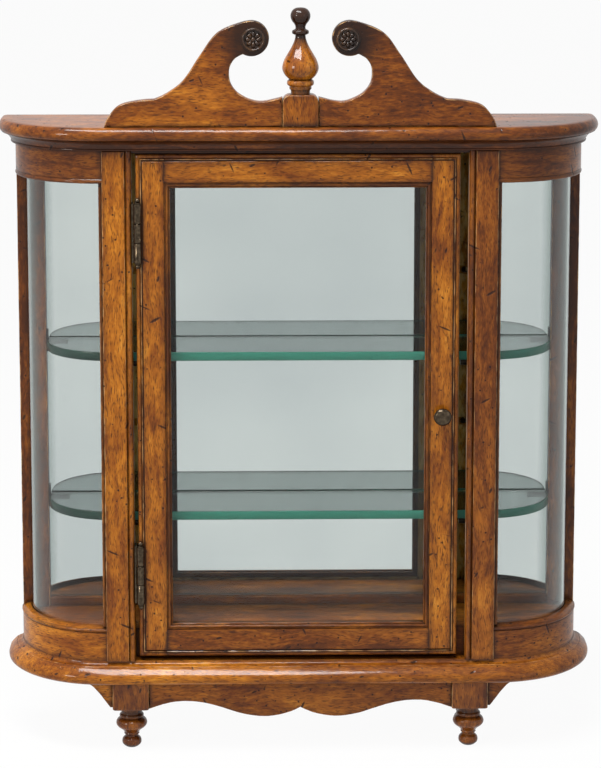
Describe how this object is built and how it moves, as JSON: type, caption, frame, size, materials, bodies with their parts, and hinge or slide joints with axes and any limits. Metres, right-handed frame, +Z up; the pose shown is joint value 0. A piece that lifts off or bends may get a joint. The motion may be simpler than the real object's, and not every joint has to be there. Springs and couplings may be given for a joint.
{
  "type": "thimble display case",
  "caption": "Bow-ended wooden display case with a glazed door, bent-glass ends, mirror back, glass shelves, a swan-neck top and turned feet.",
  "frame": {"origin": "on the surface the feet stand on, under the middle of the case's overall width and depth", "axes": "+Z up, +X to the right of someone facing the door, +Y from the door towards the mirror and the wall"},
  "size_m": [0.5588, 0.1114, 0.696],
  "materials": {
    "honey_wood": "honey stain with dark glaze, distressed, satin lacquer",
    "dark_wood": "carved and dark glazed",
    "hardboard": "raw hardboard",
    "clear_glass": "clear polished",
    "shelf_glass": "clear, green edges",
    "silvered_mirror": "silvered plate",
    "bronzed_metal": "antique dark bronze",
    "zinc_steel": "zinc plated",
    "catch_plastic": "moulded brown"
  },
  "bodies": {
    "cabinet": {"apron": "honey_wood", "back_panel": "hardboard", "back_panel_screws": "zinc_steel", "base_board": "honey_wood", "bracket_left": "honey_wood", "bracket_right": "honey_wood", "catch_body": "catch_plastic", "cornice_board": "honey_wood", "finial": "honey_wood", "finial_block": "honey_wood", "floor_board": "honey_wood", "floor_front_rail": "honey_wood", "foot_front_left": "honey_wood", "foot_front_right": "honey_wood", "foot_rear_left": "honey_wood", "foot_rear_right": "honey_wood", "frame_screws": "zinc_steel", "front_post_left": "honey_wood", "front_post_right": "honey_wood", "glass_strip_left": "honey_wood", "glass_strip_right": "honey_wood", "hinge_frame_leaf_lower": "bronzed_metal", "hinge_frame_leaf_upper": "bronzed_metal", "hinge_pin_lower": "bronzed_metal", "hinge_pin_upper": "bronzed_metal", "lower_rail_left": "honey_wood", "lower_rail_right": "honey_wood", "mirror": "silvered_mirror", "mirror_strip_bottom": "honey_wood", "mirror_strip_top": "honey_wood", "pediment_left": "honey_wood", "pediment_right": "honey_wood", "rear_post_left": "honey_wood", "rear_post_right": "honey_wood", "rosette_left": "dark_wood", "rosette_right": "dark_wood", "shelf_pins_front": "bronzed_metal", "shelf_supports_rear": "bronzed_metal", "side_glass_left": "clear_glass", "side_glass_right": "clear_glass", "top_board": "honey_wood", "upper_rail_left": "honey_wood", "upper_rail_right": "honey_wood"},
    "door": {"door_beads_rail": "honey_wood", "door_beads_side": "honey_wood", "door_pane": "clear_glass", "door_rail_bottom": "honey_wood", "door_rail_top": "honey_wood", "door_screws": "zinc_steel", "door_stile_left": "honey_wood", "door_stile_right": "honey_wood", "door_stops_rail": "honey_wood", "door_stops_side": "honey_wood", "hinge_door_leaf_lower": "bronzed_metal", "hinge_door_leaf_upper": "bronzed_metal", "knob": "bronzed_metal", "knob_screw": "zinc_steel", "strike_plate": "zinc_steel"},
    "upper_shelf": {"shelf_upper": "shelf_glass"},
    "lower_shelf": {"shelf_lower": "shelf_glass"}
  },
  "joints": [
    {"name": "door_hinge", "type": "hinge", "parent": "cabinet", "child": "door", "pos_m": [-0.1476, -0.045, 0.363], "axis": [0, 0, -1], "range_deg": [0, 165]},
    {"name": "upper_shelf_lift", "type": "slide", "parent": "cabinet", "child": "upper_shelf", "axis": [0, 0, 1], "range_m": [0, 0.03]},
    {"name": "lower_shelf_lift", "type": "slide", "parent": "cabinet", "child": "lower_shelf", "axis": [0, 0, 1], "range_m": [0, 0.03]}
  ]
}
